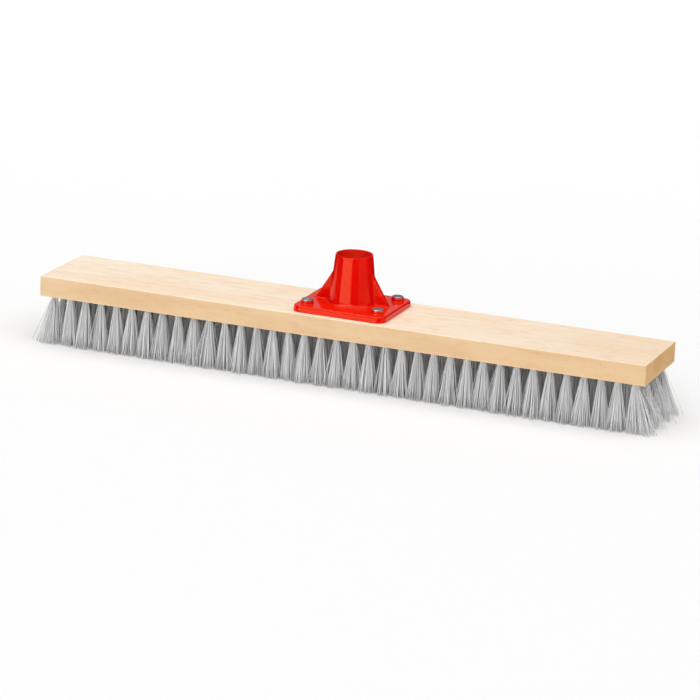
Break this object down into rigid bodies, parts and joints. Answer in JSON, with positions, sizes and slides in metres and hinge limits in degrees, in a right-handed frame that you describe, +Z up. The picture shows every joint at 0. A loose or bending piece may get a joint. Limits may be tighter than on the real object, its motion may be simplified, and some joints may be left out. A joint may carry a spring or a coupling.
{
  "type": "push broom head",
  "caption": "Push broom head: long plain wooden block, rows of grey bristle tufts set in its underside, and a moulded handle socket screwed on top.",
  "frame": {"origin": "under the middle of the block, on the plane of the bristle tips, which is the surface the broom stands on", "axes": "+X along the block, +Y from the front of the block to its back, +Z up, along the handle socket"},
  "size_m": [0.607, 0.09, 0.1185],
  "materials": {
    "block_wood": "satin",
    "socket_plastic": "gloss",
    "screw_steel": "satin",
    "bristle": "satin",
    "bristle_root": "matte",
    "anchor_wire": "satin"
  },
  "bodies": {
    "head": {"block": "block_wood", "handle_socket": "socket_plastic", "screw_front_left": "screw_steel", "screw_front_right": "screw_steel", "screw_back_left": "screw_steel", "screw_back_right": "screw_steel", "tuft_roots_front": "bristle_root", "tuft_roots_mid_front": "bristle_root", "tuft_roots_mid_back": "bristle_root", "tuft_roots_back": "bristle_root", "end_tuft_roots_front": "bristle_root", "end_tuft_roots_mid_front": "bristle_root", "end_tuft_roots_mid_back": "bristle_root", "end_tuft_roots_back": "bristle_root", "anchors_front": "anchor_wire", "anchors_mid_front": "anchor_wire", "anchors_mid_back": "anchor_wire", "anchors_back": "anchor_wire"},
    "front_row": {"tufts_front": "bristle", "end_tufts_front": "bristle"},
    "mid_front_row": {"tufts_mid_front": "bristle", "end_tufts_mid_front": "bristle"},
    "mid_back_row": {"tufts_mid_back": "bristle", "end_tufts_mid_back": "bristle"},
    "back_row": {"tufts_back": "bristle", "end_tufts_back": "bristle"}
  },
  "joints": [
    {"name": "front_row_flex", "type": "hinge", "parent": "head", "child": "front_row", "pos_m": [0, -0.036, 0.03995], "axis": [1, 0, 0], "range_deg": [-20, 20], "stiffness_Nm_per_rad": 1},
    {"name": "mid_front_row_flex", "type": "hinge", "parent": "head", "child": "mid_front_row", "pos_m": [0, -0.012, 0.03995], "axis": [1, 0, 0], "range_deg": [-20, 20], "stiffness_Nm_per_rad": 1},
    {"name": "mid_back_row_flex", "type": "hinge", "parent": "head", "child": "mid_back_row", "pos_m": [0, 0.012, 0.03995], "axis": [1, 0, 0], "range_deg": [-20, 20], "stiffness_Nm_per_rad": 1},
    {"name": "back_row_flex", "type": "hinge", "parent": "head", "child": "back_row", "pos_m": [0, 0.036, 0.03995], "axis": [1, 0, 0], "range_deg": [-20, 20], "stiffness_Nm_per_rad": 1}
  ],
  "couplings": [
    {"joint": "mid_front_row_flex", "follows": "front_row_flex", "ratio": 1},
    {"joint": "mid_back_row_flex", "follows": "front_row_flex", "ratio": 1},
    {"joint": "back_row_flex", "follows": "front_row_flex", "ratio": 1}
  ]
}
